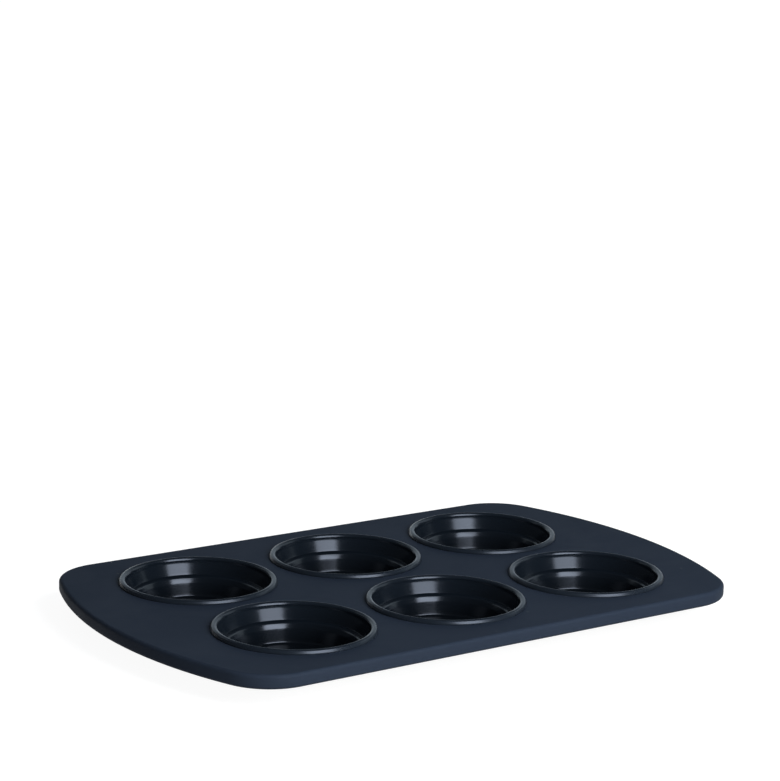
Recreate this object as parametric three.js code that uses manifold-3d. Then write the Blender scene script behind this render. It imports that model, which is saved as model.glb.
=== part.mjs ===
import * as THREE from 'three';
import { mergeVertices } from 'three/addons/utils/BufferGeometryUtils.js';
import Module from 'manifold-3d';

// Silicone muffin pan: a matte deck with a thick rim, a steel wire inside the rim, and
// glossy cups that hang in round seats in the deck. Millimetres and degrees, +Z up.
// The pan stands on the cups' floors at z = 0, and its middle is over the origin.

// The grid of cups, named as seen from the front long side.
const rowNames = ['front', 'back'];
const columnNames = ['left', 'middle', 'right'];
const cupGap = 9; // deck left between the beads of two neighbours

// One cup, from its mouth down.
const crestRadius = 36.4; // middle of the bead round the mouth
const beadWidth = 3.3;
const beadHeight = 2.1; // bead's crest over the deck
const beadRound = 1.5; // both shoulders of the bead
const wellDepth = 17.6; // bead's crest to the floor
const upperDraft = 22.5; // slope of the upper wall, from upright
const ledgeDepth = 7.9; // bead's crest to the step in the wall
const ledgeWidth = 2.8;
const ledgeFall = 0.7; // how much the step slopes down towards the middle
const ledgeRound = 3; // rounded edge of the step
const lowerDraft = 14; // slope of the lower wall, from upright
const footRound = 1.5; // inside corner at the floor
const baseRound = 3; // outside corner under the floor
const wallThickness = 1.5;
const floorThickness = 1.4;

// The deck and its rim.
const endMargin = 32.5; // bead to the end of the deck, along the middle
const sideMargin = 15.5; // bead to the deck's long side
const endBowRadius = 217.5;
const cornerRadius = 27.7;
const deckThickness = 3;
const rimHeight = 6.8;
const rimWidth = 9;
const edgeRadius = 1.8;

// The seat where a cup grips the deck, with its lip under the deck.
const neckWall = 1.3; // cup wall left inside the seat
const seatClearance = 0.3;
const lipWidth = 2;
const lipThickness = 1.5;

// The wire, its channel in the rim, and the windows where pins held it in the mould.
const wireThickness = 3;
const wireCorner = 1.2;
const wireClearance = 0.3;
const windowRadius = 2;

// How finely the round shapes are cut.
const turnSteps = 36; // round a cup
const outlineSteps = 8; // along each arc of the deck's outline
const edgeSteps = 3; // round the rim's edge
const wireSteps = 2; // round a corner of the wire
const arcStep = 40; // widest turn of one facet in a cup's profile
const cutOverrun = 1; // how far a cut starts outside the material
const sameSpot = 0.001; // points of a profile closer than this are one point

// Levels above the surface that the pan stands on.
const floorTop = floorThickness;
const crestTop = floorTop + wellDepth;
const deckTop = crestTop - beadHeight;
const deckUnder = deckTop - deckThickness;
const rimUnder = deckTop - rimHeight;
const ledgeTop = crestTop - ledgeDepth;
const stepTop = ledgeTop - ledgeFall;

// Radii of a cup.
const beadRadius = crestRadius + beadWidth / 2;
const throatRadius = crestRadius - beadWidth / 2;
const upperSlope = Math.tan(THREE.MathUtils.degToRad(upperDraft));
const lowerSlope = Math.tan(THREE.MathUtils.degToRad(lowerDraft));
const ledgeRadius = throatRadius - (deckTop - ledgeTop) * upperSlope;
const stepRadius = ledgeRadius - ledgeWidth;
const footRadius = stepRadius - (stepTop - floorTop) * lowerSlope;
const neckRadius = throatRadius + neckWall;
const seatRadius = neckRadius + seatClearance;
const lipRadius = seatRadius + lipWidth;

// Sizes of the deck's plan.
const cupPitch = 2 * beadRadius + cupGap;
const deckLength = (columnNames.length - 1) * cupPitch + 2 * (beadRadius + endMargin);
const deckWidth = (rowNames.length - 1) * cupPitch + 2 * (beadRadius + sideMargin);
const rimMiddle = rimWidth / 2;
const wireLevel = rimUnder + rimHeight / 2;

const wasm = await Module();
wasm.setup();

function solid(geometry) {
  const bare = geometry.clone();
  bare.deleteAttribute('normal');
  bare.deleteAttribute('uv');
  const merged = mergeVertices(bare);
  const vertProperties = new Float32Array(merged.getAttribute('position').array);
  const triVerts = new Uint32Array(merged.getIndex().array);
  return new wasm.Manifold(new wasm.Mesh({ numProp: 3, vertProperties, triVerts }));
}

function geometryOf(body) {
  const mesh = body.getMesh();
  const geometry = new THREE.BufferGeometry();
  geometry.setAttribute('position', new THREE.BufferAttribute(mesh.vertProperties, 3));
  geometry.setIndex(new THREE.BufferAttribute(mesh.triVerts, 1));
  geometry.computeVertexNormals();
  return geometry;
}

// Plan of the pan, drawn in from its edge: straight long sides, bowed ends, round corners.
function panOutline(inset) {
  const bowArc = endBowRadius - inset;
  const cornerArc = cornerRadius - inset;
  const bowX = deckLength / 2 - endBowRadius;
  const cornerY = deckWidth / 2 - cornerRadius;
  const bowAngle = Math.asin(cornerY / (endBowRadius - cornerRadius));
  const cornerX = bowX + (endBowRadius - cornerRadius) * Math.cos(bowAngle);
  const quarter = Math.PI / 2;
  const outline = new THREE.Shape();
  outline.absarc(bowX, 0, bowArc, -bowAngle, bowAngle);
  outline.absarc(cornerX, cornerY, cornerArc, bowAngle, quarter);
  outline.absarc(-cornerX, cornerY, cornerArc, quarter, 2 * quarter - bowAngle);
  outline.absarc(-bowX, 0, bowArc, 2 * quarter - bowAngle, 2 * quarter + bowAngle);
  outline.absarc(-cornerX, -cornerY, cornerArc, 2 * quarter + bowAngle, 3 * quarter);
  outline.absarc(cornerX, -cornerY, cornerArc, 3 * quarter, 4 * quarter - bowAngle);
  return outline;
}

function plate(outline, bottom, top) {
  const options = { depth: top - bottom, bevelEnabled: false, curveSegments: outlineSteps / 2 };
  return new THREE.ExtrudeGeometry(outline, options).translate(0, 0, bottom);
}

// A plate whose edges are rounded; the outline given is inside the edge by the round.
function roundedPlate(outline, bottom, top, round, steps) {
  const options = {
    depth: top - bottom - 2 * round,
    bevelEnabled: true,
    bevelThickness: round,
    bevelSize: round,
    bevelSegments: steps,
    curveSegments: outlineSteps / 2,
  };
  return new THREE.ExtrudeGeometry(outline, options).translate(0, 0, bottom + round);
}

// A band that follows the rim's middle line.
function rimBand(width) {
  const band = panOutline(rimMiddle - width / 2);
  band.holes.push(panOutline(rimMiddle + width / 2));
  return band;
}

// Turns a profile of radius and height about the upright axis.
function turned(profile) {
  return new THREE.LatheGeometry(profile, turnSteps).rotateX(Math.PI / 2);
}

function plug(radius, bottom, top) {
  const section = [
    new THREE.Vector2(0, bottom),
    new THREE.Vector2(radius, bottom),
    new THREE.Vector2(radius, top),
    new THREE.Vector2(0, top),
  ];
  return turned(section);
}

// A corner of a profile, with the radius of the arc that rounds it.
function corner(radius, height, round = 0) {
  return { point: new THREE.Vector2(radius, height), round };
}

// The arc that rounds one corner, as points from the side it comes from to the side it goes to.
// It may use up a side, or half of a side whose other corner is rounded too.
function roundCorner(before, { point, round }, after) {
  const back = before.point.clone().sub(point);
  const ahead = after.point.clone().sub(point);
  const half = Math.acos(back.dot(ahead) / (back.length() * ahead.length())) / 2;
  const backRoom = before.round > 0 ? back.length() / 2 : back.length();
  const aheadRoom = after.round > 0 ? ahead.length() / 2 : ahead.length();
  const reach = Math.min(round / Math.tan(half), backRoom, aheadRoom);
  const radius = reach * Math.tan(half);
  const inward = back.clone().normalize().add(ahead.clone().normalize()).normalize();
  const centre = point.clone().add(inward.multiplyScalar(radius / Math.sin(half)));
  const first = back.clone().setLength(reach).add(point).sub(centre).angle();
  const last = ahead.clone().setLength(reach).add(point).sub(centre).angle();
  const clockwise = back.cross(ahead) > 0;
  const arc = new THREE.EllipseCurve(centre.x, centre.y, radius, radius, first, last, clockwise);
  const sweep = 180 - 2 * THREE.MathUtils.radToDeg(half);
  return arc.getPoints(Math.ceil(sweep / arcStep));
}

function roundedProfile(corners) {
  const points = corners.map((item, index) => {
    const inside = index > 0 && index < corners.length - 1;
    if (!inside || item.round === 0) {
      return [item.point];
    }
    return roundCorner(corners[index - 1], item, corners[index + 1]);
  });
  const apart = (point, index, all) => index === 0 || point.distanceTo(all[index - 1]) > sameSpot;
  return points.flat().filter(apart);
}

// The cup in section, up the outside from its base, over the bead and down the inside.
function cupProfile() {
  const lipTop = deckUnder - seatClearance;
  const lipUnder = lipTop - lipThickness;
  const skirtRadius = throatRadius - (deckTop - lipUnder) * upperSlope + wallThickness;
  return roundedProfile([
    corner(0, 0),
    corner(footRadius + wallThickness, 0, baseRound),
    corner(stepRadius + wallThickness, stepTop - wallThickness),
    corner(ledgeRadius + wallThickness, ledgeTop - wallThickness),
    corner(skirtRadius, lipUnder),
    corner(lipRadius, lipUnder),
    corner(lipRadius, lipTop),
    corner(neckRadius, lipTop),
    corner(neckRadius, deckTop),
    corner(beadRadius, deckTop),
    corner(beadRadius, crestTop, beadRound),
    corner(throatRadius, crestTop, beadRound),
    corner(throatRadius, deckTop),
    corner(ledgeRadius, ledgeTop),
    corner(stepRadius, stepTop, ledgeRound),
    corner(footRadius, floorTop, footRound),
    corner(0, floorTop),
  ]);
}

function matteSilicone() {
  return new THREE.MeshStandardMaterial({ color: 0x28303a, roughness: 0.65, metalness: 0 });
}

function glossSilicone() {
  return new THREE.MeshStandardMaterial({ color: 0x0a0c10, roughness: 0.15, metalness: 0 });
}

function drawnSteel() {
  return new THREE.MeshStandardMaterial({ color: 0x9aa0a6, roughness: 0.35, metalness: 1 });
}

function named(name, geometry, material) {
  const mesh = new THREE.Mesh(geometry, material);
  mesh.name = name;
  return mesh;
}

// Where each cup stands, front row first, from left to right.
function cupPlaces() {
  return rowNames.flatMap((row, j) => columnNames.map((column, i) => ({
    name: `cup_${row}_${column}`,
    x: (i - (columnNames.length - 1) / 2) * cupPitch,
    y: (j - (rowNames.length - 1) / 2) * cupPitch,
  })));
}

// Under each column on both long sides, and in the middle of both ends.
function windowPlaces() {
  const sideY = deckWidth / 2 - rimMiddle;
  const endX = deckLength / 2 - rimMiddle;
  const columns = new Set(cupPlaces().map((place) => place.x));
  const sides = [...columns].flatMap((x) => [{ x, y: -sideY }, { x, y: sideY }]);
  return [...sides, { x: -endX, y: 0 }, { x: endX, y: 0 }];
}

// The rim is full height; inside it the deck is thin, with a seat for each cup. The wire's
// channel runs round inside the rim, and the windows open it from below.
function deck() {
  const channel = wireThickness + 2 * wireClearance;
  let body = solid(roundedPlate(panOutline(edgeRadius), rimUnder, deckTop, edgeRadius, edgeSteps));
  body = body.subtract(solid(plate(panOutline(rimWidth), rimUnder - cutOverrun, deckUnder)));
  body = body.subtract(solid(plate(rimBand(channel), wireLevel - channel / 2, wireLevel + channel / 2)));
  const seat = plug(seatRadius, deckUnder - cutOverrun, deckTop + cutOverrun);
  for (const { x, y } of cupPlaces()) {
    body = body.subtract(solid(seat.clone().translate(x, y, 0)));
  }
  const window = plug(windowRadius, rimUnder - cutOverrun, wireLevel);
  for (const { x, y } of windowPlaces()) {
    body = body.subtract(solid(window.clone().translate(x, y, 0)));
  }
  return named('deck', geometryOf(body), matteSilicone());
}

function rimWire() {
  const band = rimBand(wireThickness - 2 * wireCorner);
  const half = wireThickness / 2;
  const wire = roundedPlate(band, wireLevel - half, wireLevel + half, wireCorner, wireSteps);
  return named('rim_wire', wire, drawnSteel());
}

function cups() {
  const profile = cupProfile();
  return cupPlaces().map(({ name, x, y }) => {
    const cup = named(name, turned(profile), glossSilicone());
    cup.position.set(x, y, 0);
    return cup;
  });
}

const pan = new THREE.Group();
pan.add(deck(), rimWire(), ...cups());

export default pan;
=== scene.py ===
"""Looks of a silicone muffin pan: a matte deck, glossy cups and a steel rim wire, on a pale studio floor.

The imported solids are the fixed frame. Lengths are metres, +Z is up, and the pan stands on z = 0.
"""

import logging
import math
from collections.abc import Callable, Iterator
from dataclasses import dataclass, field
from enum import Enum
from typing import Any, ClassVar

import bmesh
import bpy
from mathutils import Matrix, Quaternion, Vector


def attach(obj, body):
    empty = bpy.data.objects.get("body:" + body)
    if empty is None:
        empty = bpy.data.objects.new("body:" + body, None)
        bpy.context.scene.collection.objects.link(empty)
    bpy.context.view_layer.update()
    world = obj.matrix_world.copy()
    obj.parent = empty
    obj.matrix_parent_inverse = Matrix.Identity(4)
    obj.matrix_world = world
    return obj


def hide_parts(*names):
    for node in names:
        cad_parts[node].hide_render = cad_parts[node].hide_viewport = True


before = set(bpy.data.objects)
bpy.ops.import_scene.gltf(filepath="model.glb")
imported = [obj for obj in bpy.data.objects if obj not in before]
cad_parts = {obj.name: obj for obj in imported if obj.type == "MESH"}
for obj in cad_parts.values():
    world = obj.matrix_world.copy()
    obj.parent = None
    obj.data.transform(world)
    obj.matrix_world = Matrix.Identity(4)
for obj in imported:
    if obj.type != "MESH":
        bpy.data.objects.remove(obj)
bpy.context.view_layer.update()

Colour = tuple[float, float, float]

MM = 0.001
WELD = 0.002 * MM  # points closer than this are one point
CREASE = 35.0  # edges that turn further than this stay sharp, in degrees
UPRIGHT = 0.5  # a face whose normal rises or falls less than this is a wall
FACING_DOWN = -0.99  # a face whose normal falls further than this is an underside
HOLE_SIDES = 128
DECK_TOP = 16.9 * MM
BODY = "root"
PICTURE_WIDTH = 780
POLISH = "polish"  # attribute of the cups' points, which their finish reads
UP = Vector((0.0, 0.0, 1.0))
WHITE: Colour = (1.0, 1.0, 1.0)
SOFTBOX_TINT: Colour = (0.71, 0.81, 1.0)
PANEL_TINT: Colour = (0.74, 0.88, 1.0)
FILL_TINT: Colour = (0.95, 0.98, 1.0)
LOW_FILL_TINT: Colour = (1.0, 0.97, 0.92)

log = logging.getLogger("muffin_pan")


class Slot(Enum):
    """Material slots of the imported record."""

    DECK = "deck_silicone"
    CUP = "cup_silicone"
    WIRE = "rim_steel"


class Pick(Enum):
    """What a selection is made of."""

    POINT = "VERT"
    EDGE = "EDGE"
    FACE = "FACE"


class Row(Enum):
    """Rows of cups, and which way each lies from the middle."""

    FRONT = -1
    BACK = 1


class Column(Enum):
    """Columns of cups, and which way each lies from the middle."""

    LEFT = -1
    MIDDLE = 0
    RIGHT = 1


class Reach(Enum):
    """What a lamp is for."""

    MIRRORS = "shows in glossy surfaces"
    MATT = "lights matt surfaces"


def clear_bench(piece: bpy.types.Object | None = None) -> None:
    """Leaves edit mode and deselects everything.

    Args:
        piece: An object to select and make active then, if there is one.
    """
    if bpy.context.mode != "OBJECT":
        bpy.ops.object.mode_set(mode="OBJECT")
    bpy.ops.object.select_all(action="DESELECT")
    if piece is not None:
        bpy.context.view_layer.objects.active = piece
        piece.select_set(True)


class Workpiece:
    """A mesh on the bench, drawn and shaped in edit mode with modelling operators."""

    def __init__(self, name: str, start: Vector) -> None:
        """Starts a mesh as one point, from a plane merged at its middle.

        Args:
            name: Name of the object and of its mesh.
            start: Where the point is.
        """
        clear_bench()
        bpy.ops.mesh.primitive_plane_add(size=MM)
        self.object: bpy.types.Object = bpy.context.active_object
        self.object.name = name
        self.object.data.name = name
        self.tip = start.copy()
        bpy.ops.object.mode_set(mode="EDIT")
        bpy.ops.mesh.select_mode(type=Pick.POINT.value)
        bpy.ops.mesh.select_all(action="SELECT")
        bpy.ops.mesh.merge(type="CENTER")
        bpy.ops.transform.translate(value=start)

    def line_to(self, point: Vector, step: float) -> None:
        """Draws a straight line from the last point.

        Args:
            point: Where the line ends.
            step: The longest edge that the line is drawn with.
        """
        way = point - self.tip
        if way.length < WELD:
            return
        count = math.ceil(way.length / step)
        for _ in range(count):
            bpy.ops.mesh.extrude_vertices_move(TRANSFORM_OT_translate={"value": way / count})
        self.tip = point.copy()

    def arc(self, centre: Vector, axis: Vector, angle: float, steps: int) -> None:
        """Draws an arc from the last point.

        Args:
            centre: Middle of the arc.
            axis: Axis that the point turns about, by the right-hand rule.
            angle: How far it turns, in radians.
            steps: Number of edges.
        """
        bpy.ops.mesh.spin(steps=steps, angle=-angle, center=centre, axis=axis)
        self.tip = centre + Quaternion(axis, angle) @ (self.tip - centre)

    def pick(self, kind: Pick, test: Callable[[Any], bool]) -> None:
        """Selects what passes a test, and nothing else.

        Args:
            kind: Points, edges or faces.
            test: Says whether one of them is selected.
        """
        bpy.ops.mesh.select_mode(type=kind.value)
        bpy.ops.mesh.select_all(action="DESELECT")
        mesh = bmesh.from_edit_mesh(self.object.data)
        every = {Pick.POINT: mesh.verts, Pick.EDGE: mesh.edges, Pick.FACE: mesh.faces}[kind]
        for item in every:
            if test(item):
                item.select_set(True)
        bmesh.update_edit_mesh(self.object.data)

    def weld(self) -> None:
        """Merges points that lie together and turns every face outwards."""
        bpy.ops.mesh.select_all(action="SELECT")
        bpy.ops.mesh.remove_doubles(threshold=WELD)
        bpy.ops.mesh.normals_make_consistent(inside=False)

    def rise(self, height: float) -> None:
        """Extrudes the selected faces upwards."""
        bpy.ops.mesh.extrude_region_move(TRANSFORM_OT_translate={"value": UP * height})

    def inset(self, width: float) -> None:
        """Insets the selected faces from their border."""
        bpy.ops.mesh.inset(thickness=width, use_even_offset=True, use_boundary=True)

    def round(self, radius: float, steps: int) -> None:
        """Rounds the selected edges."""
        bpy.ops.mesh.bevel(offset=radius, segments=steps, profile=0.5, affect="EDGES", clamp_overlap=False)

    def mirror(self) -> None:
        """Mirrors a quarter of an outline about both middle lines, and closes it with a face."""
        bpy.ops.object.mode_set(mode="OBJECT")
        change = self.object.modifiers.new("quarters", "MIRROR")
        change.use_axis = (True, True, False)
        change.merge_threshold = WELD
        bpy.ops.object.modifier_apply(modifier=change.name)
        bpy.ops.object.mode_set(mode="EDIT")
        bpy.ops.mesh.select_all(action="SELECT")
        bpy.ops.mesh.remove_doubles(threshold=WELD)
        bpy.ops.mesh.edge_face_add()

    def cut(self, tool: bpy.types.Object) -> None:
        """Cuts another closed mesh out of this one.

        Args:
            tool: That mesh, which is thrown away.
        """
        clear_bench(self.object)
        change = self.object.modifiers.new("cut", "BOOLEAN")
        change.operation = "DIFFERENCE"
        change.solver = "EXACT"
        change.object = tool
        bpy.ops.object.modifier_apply(modifier=change.name)
        bpy.data.objects.remove(tool)
        bpy.ops.object.mode_set(mode="EDIT")

    def finish(self) -> bpy.types.Object:
        """Leaves edit mode and shades the mesh smooth between its creases.

        Returns:
            The finished object.
        """
        clear_bench(self.object)
        bpy.ops.object.shade_smooth_by_angle(angle=math.radians(CREASE))
        clear_bench()
        return self.object


def level(item: Any, height: float) -> bool:
    """Says whether all the points of an edge or face are at one height."""
    return all(abs(point.co.z - height) < WELD for point in item.verts)


def beside_wall(edge: bmesh.types.BMEdge) -> bool:
    """Says whether an edge borders an upright face."""
    return any(abs(face.normal.z) < UPRIGHT for face in edge.link_faces)


def round_bar(radius: float, bottom: float, top: float, middle: tuple[float, float]) -> bpy.types.Object:
    """Makes an upright bar that cuts a round hole.

    Args:
        radius: Radius of the hole.
        bottom: Where the bar starts.
        top: Where the bar ends.
        middle: Middle of the hole, in plan.

    Returns:
        The bar.
    """
    clear_bench()
    place = (middle[0], middle[1], (bottom + top) / 2)
    bpy.ops.mesh.primitive_cylinder_add(
        vertices=HOLE_SIDES, radius=radius, depth=top - bottom, location=place
    )
    return bpy.context.active_object


@dataclass(frozen=True)
class NodeBoard:
    """A node tree that is being wired up."""

    tree: bpy.types.NodeTree

    def add(self, kind: str, inputs: dict[str | int, Any] | None = None, **settings: Any) -> bpy.types.Node:
        """Puts a node on the board.

        Args:
            kind: Blender's name of the node type.
            inputs: Values or sockets for the node's inputs, by name or number.
            settings: Properties of the node.

        Returns:
            The node.
        """
        node = self.tree.nodes.new(kind)
        for name, value in settings.items():
            setattr(node, name, value)
        for name, value in (inputs or {}).items():
            self.feed(node.inputs[name], value)
        return node

    def feed(self, socket: bpy.types.NodeSocket, value: Any) -> None:
        """Sets an input.

        Args:
            socket: The input.
            value: Its value, or a socket to wire to it.
        """
        if isinstance(value, bpy.types.NodeSocket):
            self.tree.links.new(value, socket)
        else:
            socket.default_value = value

    def maths(self, operation: str, first: Any, second: Any) -> bpy.types.NodeSocket:
        """Adds a sum of two numbers or sockets, and returns its result."""
        return self.add("ShaderNodeMath", {0: first, 1: second}, operation=operation).outputs[0]

    def spread(
        self, value: Any, source: tuple[float, float], target: tuple[Any, Any]
    ) -> bpy.types.NodeSocket:
        """Maps a value from one range to another, kept inside it.

        Args:
            value: The socket that is mapped.
            source: Range of the value.
            target: Range of the result, as numbers or sockets.

        Returns:
            The result's socket.
        """
        ends = {"From Min": source[0], "From Max": source[1], "To Min": target[0], "To Max": target[1]}
        return self.add("ShaderNodeMapRange", {"Value": value, **ends}).outputs["Result"]

    def blend(self, share: Any, first: Any, second: Any) -> bpy.types.NodeSocket:
        """Mixes two colours.

        Args:
            share: Share of the second colour.
            first: Colour or socket.
            second: Colour or socket.

        Returns:
            The mixed colour's socket.
        """
        node = self.add("ShaderNodeMix", data_type="RGBA")
        for name, value in (("Factor_Float", share), ("A_Color", first), ("B_Color", second)):
            socket = next(item for item in node.inputs if item.identifier == name)
            self.feed(socket, value)
        return next(item for item in node.outputs if item.identifier == "Result_Color")


def opaque(colour: Colour) -> tuple[float, float, float, float]:
    """Adds a full alpha to a colour."""
    return (*colour, 1.0)


@dataclass
class SharedEffect:
    """A shader node group with named sockets, built once and placed in each material."""

    name: str
    numbers: tuple[str, ...]
    outputs: tuple[str, ...]

    def start(self) -> tuple[NodeBoard, bpy.types.Node, bpy.types.Node]:
        """Makes the group with its sockets: coordinates and numbers in, numbers out.

        Returns:
            The board, the group's input node and its output node.
        """
        tree = bpy.data.node_groups.new(self.name, "ShaderNodeTree")
        tree.interface.new_socket("Coordinates", in_out="INPUT", socket_type="NodeSocketVector")
        for name in self.numbers:
            tree.interface.new_socket(name, in_out="INPUT", socket_type="NodeSocketFloat")
        for name in self.outputs:
            tree.interface.new_socket(name, in_out="OUTPUT", socket_type="NodeSocketFloat")
        board = NodeBoard(tree)
        return board, board.add("NodeGroupInput"), board.add("NodeGroupOutput")

    def place(self, board: NodeBoard, values: dict[str, Any]) -> bpy.types.Node:
        """Puts the group in a material.

        Args:
            board: The material's nodes.
            values: Values or sockets for the group's inputs.

        Returns:
            The group's node.
        """
        return board.add("ShaderNodeGroup", values, node_tree=bpy.data.node_groups[self.name])


class MouldedSkin(SharedEffect):
    """The skin that a mould leaves: fine grain, slow waves and patches of tone."""

    details: ClassVar[dict[str, float]] = {"Grain": 3.0, "Wave": 1.0, "Patch": 2.0}
    noise_range: ClassVar[tuple[float, float]] = (0.25, 0.75)

    def __init__(self) -> None:
        """Builds the group."""
        scales = {name: f"{name} Scale" for name in self.details}
        super().__init__("moulded_skin", tuple(scales.values()), tuple(self.details))
        board, given, result = self.start()
        place = given.outputs["Coordinates"]
        for name, detail in self.details.items():
            values = {"Vector": place, "Scale": given.outputs[scales[name]], "Detail": detail}
            noise = board.add("ShaderNodeTexNoise", values).outputs[0]
            board.feed(result.inputs[name], board.spread(noise, self.noise_range, (0.0, 1.0)))


class HandlingMarks(SharedEffect):
    """What use leaves on silicone: soft smudges and a few specks of dust."""

    smudge_detail: ClassVar[float] = 4.0
    smudge_distortion: ClassVar[float] = 0.6
    smudge_range: ClassVar[tuple[float, float]] = (0.45, 0.7)
    speck_range: ClassVar[tuple[float, float]] = (0.1, 0.22)

    def __init__(self) -> None:
        """Builds the group."""
        numbers = ("Smudge Scale", "Speck Scale", "Speck Share")
        super().__init__("handling_marks", numbers, ("Smudge", "Speck"))
        board, given, result = self.start()
        place = given.outputs["Coordinates"]
        clouds = {"Detail": self.smudge_detail, "Distortion": self.smudge_distortion}
        values = {"Vector": place, "Scale": given.outputs["Smudge Scale"], **clouds}
        smudge = board.add("ShaderNodeTexNoise", values).outputs[0]
        board.feed(result.inputs["Smudge"], board.spread(smudge, self.smudge_range, (0.0, 1.0)))
        cells = {"Vector": place, "Scale": given.outputs["Speck Scale"]}
        speck = board.add("ShaderNodeTexVoronoi", cells)
        near = board.spread(speck.outputs["Distance"], self.speck_range, (1.0, 0.0))
        chance = board.add("ShaderNodeSeparateColor", {0: speck.outputs["Color"]}).outputs[0]
        chosen = board.maths("LESS_THAN", chance, given.outputs["Speck Share"])
        board.feed(result.inputs["Speck"], board.maths("MULTIPLY", near, chosen))


def blank_material(name: str) -> tuple[bpy.types.Material, NodeBoard, bpy.types.Node]:
    """Starts a material.

    Args:
        name: Name of the material.

    Returns:
        The material, its board and its shader.
    """
    made = bpy.data.materials.new(name)
    made.use_nodes = True
    return made, NodeBoard(made.node_tree), made.node_tree.nodes["Principled BSDF"]


def emboss(board: NodeBoard, shader: bpy.types.Node, relief: bpy.types.NodeSocket) -> None:
    """Gives a surface its relief, whose heights are in metres."""
    bump = board.add("ShaderNodeBump", {"Height": relief, "Distance": 1.0, "Strength": 1.0})
    board.feed(shader.inputs["Normal"], bump.outputs[0])


@dataclass(frozen=True)
class PolishAndPaintedShade:
    """A polished mould's smooth surface, with painted shade: the inside is coloured darker further down the
    cup.
    """

    # painted shade: a lighter colour up the walls, a darker colour towards the cup's floor
    wall_colour: Colour = (0.0038, 0.0060, 0.0094)
    floor_colour: Colour = (0.0024, 0.0035, 0.0052)
    depth: tuple[float, float] = (12.0 * MM, 2.0 * MM)  # heights between which the colour changes
    roughness: tuple[float, float] = (0.17, 0.23)


@dataclass(frozen=True)
class SiliconeFinish:
    """A moulded silicone surface, which may be polished in places."""

    name: str
    colour: Colour
    patch_colour: Colour
    dust_colour: Colour
    roughness: tuple[float, float]
    grain_depth: float
    wave_depth: float
    grain_scale: float
    wave_scale: float
    speck_share: float
    specular: float
    # where polished, the finish also carries painted shade, darker towards the cup's floor
    polish: PolishAndPaintedShade | None = None
    refraction: float = 1.41
    patch_scale: float = 14.0
    smudge_scale: float = 22.0
    speck_scale: float = 260.0

    def material(self, skin: MouldedSkin, marks: HandlingMarks) -> bpy.types.Material:
        """Makes the material.

        Args:
            skin: Grain, waves and patches.
            marks: Smudges and specks.

        Returns:
            The material.
        """
        made, board, shader = blank_material(self.name)
        board.feed(shader.inputs["IOR"], self.refraction)
        board.feed(shader.inputs["Specular IOR Level"], self.specular)
        place = board.add("ShaderNodeTexCoord").outputs["Object"]
        scales = {
            "Grain Scale": self.grain_scale,
            "Wave Scale": self.wave_scale,
            "Patch Scale": self.patch_scale,
        }
        surface = skin.place(board, {"Coordinates": place, **scales})
        flecks = {
            "Smudge Scale": self.smudge_scale,
            "Speck Scale": self.speck_scale,
            "Speck Share": self.speck_share,
        }
        used = marks.place(board, {"Coordinates": place, **flecks})
        tone = board.blend(surface.outputs["Patch"], opaque(self.colour), opaque(self.patch_colour))
        rough = board.spread(used.outputs["Smudge"], (0.0, 1.0), self.roughness)
        if self.polish is not None:
            share = board.add("ShaderNodeAttribute", attribute_name=POLISH).outputs["Fac"]
            # painted shade: the polished inside darkens from its walls towards its floor
            height = board.add("ShaderNodeSeparateXYZ", {0: place}).outputs["Z"]
            depth = board.spread(height, self.polish.depth, (0.0, 1.0))
            inside = board.blend(depth, opaque(self.polish.wall_colour), opaque(self.polish.floor_colour))
            tone = board.blend(share, tone, inside)
            smooth = board.spread(used.outputs["Smudge"], (0.0, 1.0), self.polish.roughness)
            rough = board.spread(share, (0.0, 1.0), (rough, smooth))
        dusty = board.blend(used.outputs["Speck"], tone, opaque(self.dust_colour))
        board.feed(shader.inputs["Base Color"], dusty)
        board.feed(shader.inputs["Roughness"], rough)
        grain = board.maths("MULTIPLY", surface.outputs["Grain"], self.grain_depth)
        wave = board.maths("MULTIPLY", surface.outputs["Wave"], self.wave_depth)
        emboss(board, shader, board.maths("ADD", grain, wave))
        return made


@dataclass(frozen=True)
class DrawnSteel:
    """Drawn steel wire, with fine scratches and a dull patch here and there."""

    name: str = "drawn_steel"
    colour: Colour = (0.36, 0.37, 0.39)
    dull_colour: Colour = (0.24, 0.245, 0.25)
    roughness: tuple[float, float] = (0.28, 0.46)
    grain_depth: float = 0.01 * MM
    grain_scale: float = 2600.0
    patch_scale: float = 60.0
    smudge_scale: float = 90.0

    def material(self, skin: MouldedSkin, marks: HandlingMarks) -> bpy.types.Material:
        """Makes the material.

        Args:
            skin: Grain, waves and patches.
            marks: Smudges and specks.

        Returns:
            The material.
        """
        made, board, shader = blank_material(self.name)
        board.feed(shader.inputs["Metallic"], 1.0)
        place = board.add("ShaderNodeTexCoord").outputs["Object"]
        scales = {"Grain Scale": self.grain_scale, "Patch Scale": self.patch_scale}
        surface = skin.place(board, {"Coordinates": place, **scales})
        used = marks.place(board, {"Coordinates": place, "Smudge Scale": self.smudge_scale})
        tone = board.blend(surface.outputs["Patch"], opaque(self.colour), opaque(self.dull_colour))
        board.feed(shader.inputs["Base Color"], tone)
        rough = board.spread(used.outputs["Smudge"], (0.0, 1.0), self.roughness)
        board.feed(shader.inputs["Roughness"], rough)
        emboss(board, shader, board.maths("MULTIPLY", surface.outputs["Grain"], self.grain_depth))
        return made


MATTE_SILICONE = SiliconeFinish(
    name="matte_silicone",
    colour=(0.0147, 0.0207, 0.0330),
    patch_colour=(0.0166, 0.0230, 0.0362),
    dust_colour=(0.036, 0.042, 0.050),
    roughness=(0.60, 0.68),
    grain_depth=0.014 * MM,
    wave_depth=0.030 * MM,
    grain_scale=1500.0,
    wave_scale=90.0,
    speck_share=0.008,
    specular=0.06,
)

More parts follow.
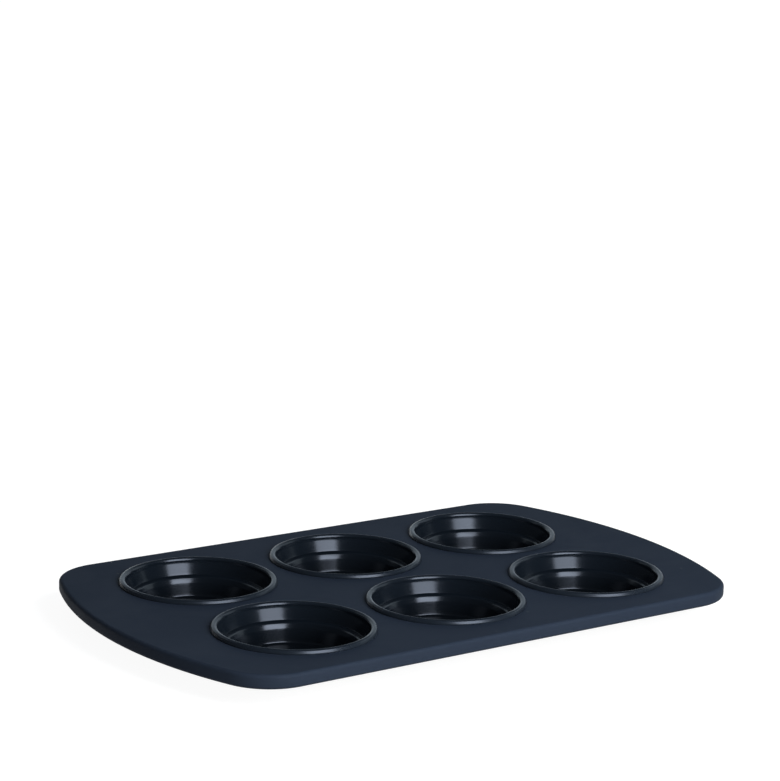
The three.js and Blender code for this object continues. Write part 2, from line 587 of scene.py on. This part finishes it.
GLOSS_SILICONE = SiliconeFinish(
    name="gloss_silicone",
    colour=(0.0066, 0.0096, 0.0145),
    patch_colour=(0.0076, 0.0109, 0.0162),
    dust_colour=(0.008, 0.010, 0.013),
    roughness=(0.26, 0.32),
    grain_depth=0.0008 * MM,
    wave_depth=0.010 * MM,
    grain_scale=900.0,
    wave_scale=110.0,
    speck_share=0.006,
    specular=0.5,
    polish=PolishAndPaintedShade(),
)


@dataclass(frozen=True)
class CupGrid:
    """Where the cups stand: two rows of three."""

    pitch: float = 85.1 * MM

    def places(self) -> Iterator[tuple[str, tuple[float, float]]]:
        """Goes through the cups, front row first.

        Returns:
            The name of each place, and its middle in plan.
        """
        for row in Row:
            for column in Column:
                middle = (column.value * self.pitch, row.value * self.pitch / 2)
                yield f"{row.name}_{column.name}".lower(), middle


@dataclass(frozen=True)
class PanPlan:
    """Plan of the pan: straight long sides, bowed ends and round corners."""

    half_length: float = 155.65 * MM
    half_width: float = 96.1 * MM
    bow_radius: float = 217.5 * MM
    corner_radius: float = 27.7 * MM
    bow_steps: int = 28
    corner_steps: int = 24

    def face(self, name: str, inset: float, height: float) -> Workpiece:
        """Draws the plan as one flat face.

        Args:
            name: Name of the piece.
            inset: How far inside the pan's edge the outline runs.
            height: Level of the face.

        Returns:
            The workpiece, with the face selected.
        """
        bow = Vector((self.half_length - self.bow_radius, 0.0, height))
        corner_y = self.half_width - self.corner_radius
        inner = self.bow_radius - self.corner_radius
        angle = math.asin(corner_y / inner)
        corner = Vector((bow.x + inner * math.cos(angle), corner_y, height))
        work = Workpiece(name, Vector((self.half_length - inset, 0.0, height)))
        work.arc(bow, UP, angle, self.bow_steps)
        work.arc(corner, UP, math.pi / 2 - angle, self.corner_steps)
        work.line_to(Vector((0.0, self.half_width - inset, height)), corner.x)
        work.mirror()
        return work


@dataclass
class Deck:
    """The matte deck: a thin plate with a thick rim, a seat for each cup and the wire's channel."""

    plan: PanPlan = field(default_factory=PanPlan)
    grid: CupGrid = field(default_factory=CupGrid)
    top: float = DECK_TOP
    under: float = 13.9 * MM
    rim_under: float = 10.1 * MM
    rim_width: float = 9.0 * MM
    edge_radius: float = 1.8 * MM
    edge_steps: int = 8
    pocket_round: float = 0.8 * MM
    pocket_steps: int = 4
    support: float = 0.25 * MM  # width of the bands round the flat faces
    seat_radius: float = 36.35 * MM
    channel: float = 3.6 * MM
    window_radius: float = 2.0 * MM
    overrun: float = 1.0 * MM  # how far a cutting bar stands out of the deck

    def build(self) -> bpy.types.Object:
        """Models the deck.

        Returns:
            The deck's object.
        """
        work = self.plan.face("pan_deck", 0.0, self.rim_under)
        work.rise(self.top - self.rim_under)
        work.weld()
        work.pick(Pick.EDGE, lambda edge: level(edge, self.top) or level(edge, self.rim_under))
        work.round(self.edge_radius, self.edge_steps)
        self.hollow(work)
        self.steady(work)
        for _, middle in self.grid.places():
            work.cut(round_bar(self.seat_radius, self.under - self.overrun, self.top + self.overrun, middle))
        work.cut(self.channel_core())
        for middle in self.windows():
            work.cut(round_bar(self.window_radius, self.rim_under - self.overrun, self.wire_level, middle))
        return work.finish()

    @property
    def wire_level(self) -> float:
        """Height of the wire's middle."""
        return (self.top + self.rim_under) / 2

    def hollow(self, work: Workpiece) -> None:
        """Sinks the pocket into the underside and rounds its edges.

        Args:
            work: The deck, still a solid slab.
        """
        work.pick(Pick.FACE, lambda face: face.normal.z < FACING_DOWN and level(face, self.rim_under))
        work.inset(self.rim_width - self.edge_radius)
        work.rise(self.under - self.rim_under)
        work.pick(Pick.EDGE, self.edges_pocket)
        work.round(self.pocket_round, self.pocket_steps)

    def edges_pocket(self, edge: bmesh.types.BMEdge) -> bool:
        """Says whether an edge runs round the pocket's mouth or its floor."""
        return beside_wall(edge) and (level(edge, self.under) or level(edge, self.rim_under))

    def steady(self, work: Workpiece) -> None:
        """Frames the flat faces with narrow bands, so that the rounds beside them don't shade them.

        Args:
            work: The deck, before its holes are cut.
        """
        for height in (self.top, self.under, self.rim_under):
            work.pick(Pick.FACE, lambda face, height=height: level(face, height))
            work.inset(self.support)

    def channel_core(self) -> bpy.types.Object:
        """Makes the ring that cuts the wire's channel.

        Returns:
            The ring.
        """
        side = (self.rim_width - self.channel) / 2
        core = self.plan.face("channel_core", side, self.wire_level - self.channel / 2)
        core.inset(self.channel)
        bpy.ops.mesh.delete(type="FACE")
        core.pick(Pick.FACE, lambda face: True)
        core.rise(self.channel)
        core.weld()
        clear_bench()
        return core.object

    def windows(self) -> Iterator[tuple[float, float]]:
        """Goes through the windows: under each column on both long sides, and in both ends.

        Returns:
            The middle of each window, in plan.
        """
        side = self.plan.half_width - self.rim_width / 2
        end = self.plan.half_length - self.rim_width / 2
        for column in Column:
            yield column.value * self.grid.pitch, -side
            yield column.value * self.grid.pitch, side
        yield -end, 0.0
        yield end, 0.0


@dataclass(frozen=True)
class Corner:
    """A corner of a cup's section, and the round on it."""

    radius: float
    height: float
    round: float = 0.0

    @property
    def point(self) -> Vector:
        """Where the corner is, in the section's plane."""
        return Vector((self.radius, 0.0, self.height))


@dataclass
class Cup:
    """A glossy cup: a bead round the mouth, a step in the wall, and a lip that grips the deck.

    Each pair of sizes is a corner's radius and height.
    """

    grid: CupGrid = field(default_factory=CupGrid)
    deck_top: float = DECK_TOP
    bead_radius: float = 38.05 * MM
    throat_radius: float = 34.75 * MM
    bead_side: float = 17.45 * MM
    bead_shoulder: tuple[float, float] = (37.424 * MM, 18.678 * MM)
    bead_crown: tuple[float, float] = (36.4 * MM, 19.051 * MM)
    bead_brow: tuple[float, float] = (35.212 * MM, 18.618 * MM)
    bead_heel: float = 17.75 * MM
    bead_round: float = 0.8 * MM
    polish_fade: float = 1.05 * MM
    ledge_height: float = 11.0 * MM
    ledge_radius: float = 32.348 * MM
    step_height: float = 10.4 * MM
    step_radius: float = 29.548 * MM
    nosing: tuple[float, float] = (29.95 * MM, 10.45 * MM)
    nosing_round: float = 1.6 * MM
    nosing_foot: tuple[float, float] = (28.65 * MM, 7.95 * MM)
    nosing_foot_round: float = 2.0 * MM
    foot_radius: float = 27.304 * MM  # the base's outer corner is one wall further out
    toe_radius: float = 26.8 * MM  # the floor's inner corner
    toe_round: float = 1.1 * MM
    base_round: float = 3.0 * MM
    floor_top: float = 1.4 * MM
    wall: float = 1.5 * MM
    neck_radius: float = 36.05 * MM
    lip_radius: float = 38.35 * MM
    lip_top: float = 13.6 * MM
    lip_under: float = 12.1 * MM
    skirt_radius: float = 34.262 * MM
    soft_edge: float = 0.3 * MM
    turns: int = 160  # edges round the cup
    line_step: float = 1.1 * MM
    arc_step: float = 8.0  # degrees

    def section(self) -> list[Corner]:
        """Lists the section's corners, up the outside from the base and down the inside.

        Returns:
            The corners.
        """
        return [
            Corner(0.0, 0.0),
            Corner(self.foot_radius + self.wall, 0.0, self.base_round),
            Corner(self.step_radius + self.wall, self.step_height - self.wall, self.soft_edge),
            Corner(self.ledge_radius + self.wall, self.ledge_height - self.wall, self.soft_edge),
            Corner(self.skirt_radius, self.lip_under, self.soft_edge),
            Corner(self.lip_radius, self.lip_under, self.soft_edge),
            Corner(self.lip_radius, self.lip_top, self.soft_edge),
            Corner(self.neck_radius, self.lip_top),
            Corner(self.neck_radius, self.deck_top),
            Corner(self.bead_radius, self.deck_top),
            Corner(self.bead_radius, self.bead_side, self.soft_edge),
            Corner(*self.bead_shoulder, self.bead_round),
            Corner(*self.bead_crown, self.bead_round),
            Corner(*self.bead_brow, self.bead_round),
            Corner(self.throat_radius, self.bead_heel, self.soft_edge / 2),
            Corner(self.throat_radius, self.deck_top),
            Corner(self.ledge_radius, self.ledge_height, self.soft_edge / 2),
            Corner(*self.nosing, self.nosing_round),
            Corner(*self.nosing_foot, self.nosing_foot_round),
            Corner(self.toe_radius, self.floor_top, self.toe_round),
            Corner(0.0, self.floor_top),
        ]

    def draw(self, work: Workpiece) -> None:
        """Draws the section in the plane y = 0.

        Args:
            work: A mesh that is one point so far, at the section's first corner.
        """
        corners = self.section()
        for before, corner, after in zip(corners, corners[1:], corners[2:]):
            back = before.point - corner.point
            ahead = after.point - corner.point
            half = back.angle(ahead) / 2
            reach = min(corner.round / math.tan(half), back.length, ahead.length)
            radius = reach * math.tan(half)
            work.line_to(corner.point + back.normalized() * reach, self.line_step)
            if corner.round == 0.0:
                continue
            inward = (back.normalized() + ahead.normalized()).normalized()
            turn = math.pi - 2 * half
            steps = math.ceil(math.degrees(turn) / self.arc_step)
            centre = corner.point + inward * (radius / math.sin(half))
            work.arc(centre, ahead.cross(back).normalized(), turn, steps)
        work.line_to(corners[-1].point, self.line_step)

    def polish(self, radius: float, height: float) -> float:
        """Says how polished the mould was at a place.

        Args:
            radius: Distance from the cup's axis.
            height: Height above the base.

        Returns:
            1 inside the cup, 0 outside it, and a fade on the inside of the bead.
        """
        if height > self.deck_top:
            return min(max(1.0 - (radius - self.throat_radius) / self.polish_fade, 0.0), 1.0)
        ledge_under = self.ledge_height - self.wall
        if height > ledge_under:
            share = (height - ledge_under) / (self.deck_top - ledge_under)
            inner = self.ledge_radius + share * (self.throat_radius - self.ledge_radius)
        else:
            inner = self.foot_radius + height / ledge_under * (self.step_radius - self.foot_radius)
        # The inside ends half way down the floor and a third of the way into the wall.
        return float(height > self.floor_top / 2 and radius < inner + self.wall / 3)

    def mark_polish(self, pattern: bpy.types.Object) -> None:
        """Writes the polish to the cup's points, where its finish reads it.

        Args:
            pattern: The cup that the others are copied from.
        """
        marks = pattern.data.attributes.new(POLISH, "FLOAT", "POINT")
        for point, mark in zip(pattern.data.vertices, marks.data):
            mark.value = self.polish(point.co.xy.length, point.co.z)

    def build(self) -> Iterator[tuple[str, bpy.types.Object]]:
        """Models one cup by turning its section, and copies it to each place.

        Returns:
            The place's name and the cup there, one at a time.
        """
        work = Workpiece("cup_pattern", Vector((0.0, 0.0, 0.0)))
        self.draw(work)
        bpy.ops.mesh.select_all(action="SELECT")
        bpy.ops.mesh.spin(steps=self.turns, angle=2 * math.pi, center=(0.0, 0.0, 0.0), axis=UP)
        work.weld()
        pattern = work.finish()
        self.mark_polish(pattern)
        for name, middle in self.grid.places():
            clear_bench(pattern)
            bpy.ops.object.duplicate(linked=False)
            cup = bpy.context.active_object
            cup.name = f"muffin_cup_{name}"
            cup.data.name = cup.name
            bpy.ops.transform.translate(value=(*middle, 0.0))
            bpy.ops.object.transform_apply(location=True, rotation=False, scale=False)
            yield name, cup
        bpy.data.objects.remove(pattern)


def direction(azimuth: float, elevation: float) -> Vector:
    """Gives the way from the pan to a place round it.

    Args:
        azimuth: Degrees from the front, towards the right end.
        elevation: Degrees above the horizon.

    Returns:
        A unit vector.
    """
    turn, rise = math.radians(azimuth), math.radians(elevation)
    return Vector((math.sin(turn) * math.cos(rise), -math.cos(turn) * math.cos(rise), math.sin(rise)))


@dataclass(frozen=True)
class Lamp:
    """A soft lamp that faces the pan."""

    name: str
    reach: Reach
    azimuth: float
    elevation: float
    distance: float
    size: tuple[float, float]
    radiance: float
    colour: Colour

    def switch_on(self) -> None:
        """Adds the lamp."""
        area = self.size[0] * self.size[1]
        light = bpy.data.lights.new(self.name, "AREA")
        light.shape = "RECTANGLE"
        light.size, light.size_y = self.size
        light.energy = self.radiance * area * math.pi
        light.color = self.colour
        holder = bpy.data.objects.new(self.name, light)
        bpy.context.scene.collection.objects.link(holder)
        back = direction(self.azimuth, self.elevation)
        holder.location = back * self.distance
        holder.rotation_euler = (-back).to_track_quat("-Z", "Y").to_euler()
        holder.visible_camera = False
        holder.visible_glossy = self.reach is Reach.MIRRORS
        holder.visible_diffuse = self.reach is Reach.MATT


def mirrored_ray(board: NodeBoard, path: bpy.types.Node) -> bpy.types.NodeSocket:
    """Gives 1 for light that is seen in a mirror or through glass, and 0 for other light."""
    return board.maths("MAXIMUM", path.outputs["Is Glossy Ray"], path.outputs["Is Transmission Ray"])


def seen(board: NodeBoard) -> bpy.types.NodeSocket:
    """Gives 1 for what the camera sees, straight or in a mirror or through glass, and 0 for other light."""
    path = board.add("ShaderNodeLightPath")
    return board.maths("MAXIMUM", path.outputs["Is Camera Ray"], mirrored_ray(board, path))


@dataclass
class Studio:
    """A pale floor, soft lamps, and a camera at the picture's viewing angle."""

    camera_place: tuple[float, float, float] = (-0.68017, -0.95797, 0.36636)
    camera_azimuth: float = -35.157
    camera_elevation: float = 12.2977
    camera_roll: float = 1.489
    focal_pixels: float = 2517.3
    sensor: float = 36.0  # millimetres, like the lens
    floor_size: float = 80.0
    floor_colour: Colour = (0.22, 0.22, 0.22)
    floor_glow: float = 0.93
    floor_fade: tuple[float, float] = (0.2, 1.6)
    ambient: Colour = (0.154, 0.165, 0.182)
    surroundings: Colour = (0.045, 0.055, 0.070)
    horizon: tuple[float, float] = (0.0, 0.04)
    lamps: tuple[Lamp, ...] = (
        Lamp(
            "softbox", Reach.MIRRORS, azimuth=2.6, elevation=34.0, distance=1.6,
            size=(1.0, 0.95), radiance=6.3, colour=SOFTBOX_TINT,
        ),
        Lamp(
            "softbox_core", Reach.MIRRORS, azimuth=2.6, elevation=35.5, distance=1.6,
            size=(1.0, 0.27), radiance=4.2, colour=SOFTBOX_TINT,
        ),
        Lamp(
            "right_fill", Reach.MATT, azimuth=15.0, elevation=35.0, distance=1.2,
            size=(0.8, 0.8), radiance=10.2, colour=FILL_TINT,
        ),
        Lamp(
            "low_fill", Reach.MATT, azimuth=-15.0, elevation=4.5, distance=0.6,
            size=(0.3, 0.1), radiance=23.0, colour=LOW_FILL_TINT,
        ),
        Lamp(
            "back_panel", Reach.MIRRORS, azimuth=144.0, elevation=14.5, distance=1.6,
            size=(2.6, 0.85), radiance=0.58, colour=PANEL_TINT,
        ),
        Lamp(
            "far_panel", Reach.MIRRORS, azimuth=203.0, elevation=30.0, distance=1.6,
            size=(0.8, 0.5), radiance=0.5, colour=PANEL_TINT,
        ),
        Lamp(
            "side_panel", Reach.MIRRORS, azimuth=88.0, elevation=26.0, distance=1.6,
            size=(1.0, 0.7), radiance=0.8, colour=PANEL_TINT,
        ),
    )

    def build(self) -> None:
        """Sets up the whole studio."""
        self.lay_floor()
        self.set_world()
        for lamp in self.lamps:
            lamp.switch_on()
            log.info("lamp %s", lamp.name)
        self.aim_camera()
        bpy.context.scene.view_settings.view_transform = "Standard"

    def lay_floor(self) -> None:
        """Lays a pale floor, which is seen as white and still takes the shadow."""
        clear_bench()
        bpy.ops.mesh.primitive_plane_add(size=self.floor_size)
        floor = bpy.context.active_object
        floor.name = "studio_floor"
        paint = bpy.data.materials.new("pale_floor")
        paint.use_nodes = True
        paint.node_tree.nodes.clear()
        board = NodeBoard(paint.node_tree)
        matt = board.add("ShaderNodeBsdfDiffuse", {"Color": opaque(self.floor_colour)})
        place = board.add("ShaderNodeTexCoord").outputs["Object"]
        away = board.add("ShaderNodeVectorMath", {0: place}, operation="LENGTH").outputs["Value"]
        paler = board.spread(away, self.floor_fade, (self.floor_glow, 1.0))
        glow = board.add("ShaderNodeEmission", {"Strength": board.maths("MULTIPLY", seen(board), paler)})
        both = board.add("ShaderNodeAddShader", {0: matt.outputs[0], 1: glow.outputs[0]})
        board.add("ShaderNodeOutputMaterial", {"Surface": both.outputs[0]})
        floor.data.materials.append(paint)

    def set_world(self) -> None:
        """Sets the light all round: even for matt surfaces, white where seen, dim above in reflections."""
        world = bpy.data.worlds.new("studio")
        bpy.context.scene.world = world
        world.use_nodes = True
        world.node_tree.nodes.clear()
        board = NodeBoard(world.node_tree)
        path = board.add("ShaderNodeLightPath")
        even = board.add("ShaderNodeBackground", {"Color": opaque(self.ambient)})
        dim = board.add("ShaderNodeBackground", {"Color": opaque(self.surroundings)})
        white = board.add("ShaderNodeBackground", {"Color": opaque(WHITE)})
        mirrored = mirrored_ray(board, path)
        first = board.add("ShaderNodeMixShader", {0: mirrored, 1: even.outputs[0], 2: dim.outputs[0]})
        way = board.add("ShaderNodeTexCoord").outputs["Generated"]
        rise = board.add("ShaderNodeSeparateXYZ", {0: way}).outputs["Z"]
        low = board.maths("MULTIPLY", mirrored, board.spread(rise, self.horizon, (1.0, 0.0)))
        backdrop = board.maths("MAXIMUM", path.outputs["Is Camera Ray"], low)
        last = board.add("ShaderNodeMixShader", {0: backdrop, 1: first.outputs[0], 2: white.outputs[0]})
        board.add("ShaderNodeOutputWorld", {"Surface": last.outputs[0]})

    def aim_camera(self) -> None:
        """Places the camera."""
        lens = bpy.data.cameras.new("picture_camera")
        lens.sensor_fit = "HORIZONTAL"
        lens.sensor_width = self.sensor
        lens.lens = self.focal_pixels * self.sensor / PICTURE_WIDTH
        lens.clip_end = 2 * self.floor_size
        holder = bpy.data.objects.new("picture_camera", lens)
        bpy.context.scene.collection.objects.link(holder)
        bpy.context.scene.camera = holder
        back = direction(self.camera_azimuth, self.camera_elevation)
        roll = Quaternion(UP, math.radians(self.camera_roll))
        holder.rotation_mode = "QUATERNION"
        holder.rotation_quaternion = (-back).to_track_quat("-Z", "Y") @ roll
        holder.location = self.camera_place


def dress(piece: bpy.types.Object, finish: bpy.types.Material, slot: Slot) -> None:
    """Gives a piece its finish.

    Args:
        piece: The piece.
        finish: Its material.
        slot: The record's slot for that material; not used.
    """
    piece.data.materials.clear()
    piece.data.materials.append(finish)


def carry(piece: bpy.types.Object, node: str) -> None:
    """Makes a new piece ride on the pan and stand for a solid.

    Args:
        piece: The piece.
        node: Name of the solid's node.
    """
    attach(piece, BODY)
    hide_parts(node)
    log.info("%s: %d faces, stands for %s", piece.name, len(piece.data.polygons), node)


def main() -> None:
    """Builds the pan's pieces and the studio, and notes the sizes."""
    logging.basicConfig(level=logging.INFO, format="%(message)s")
    skin, marks = MouldedSkin(), HandlingMarks()
    matte = MATTE_SILICONE.material(skin, marks)
    gloss = GLOSS_SILICONE.material(skin, marks)
    deck = Deck().build()
    dress(deck, matte, Slot.DECK)
    carry(deck, "deck")
    for name, cup in Cup().build():
        dress(cup, gloss, Slot.CUP)
        carry(cup, f"cup_{name}")
    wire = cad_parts["rim_wire"]
    dress(wire, DrawnSteel().material(skin, marks), Slot.WIRE)
    log.info("%s: kept from the frame", wire.name)
    Studio().build()


if __name__ == "__main__":
    main()
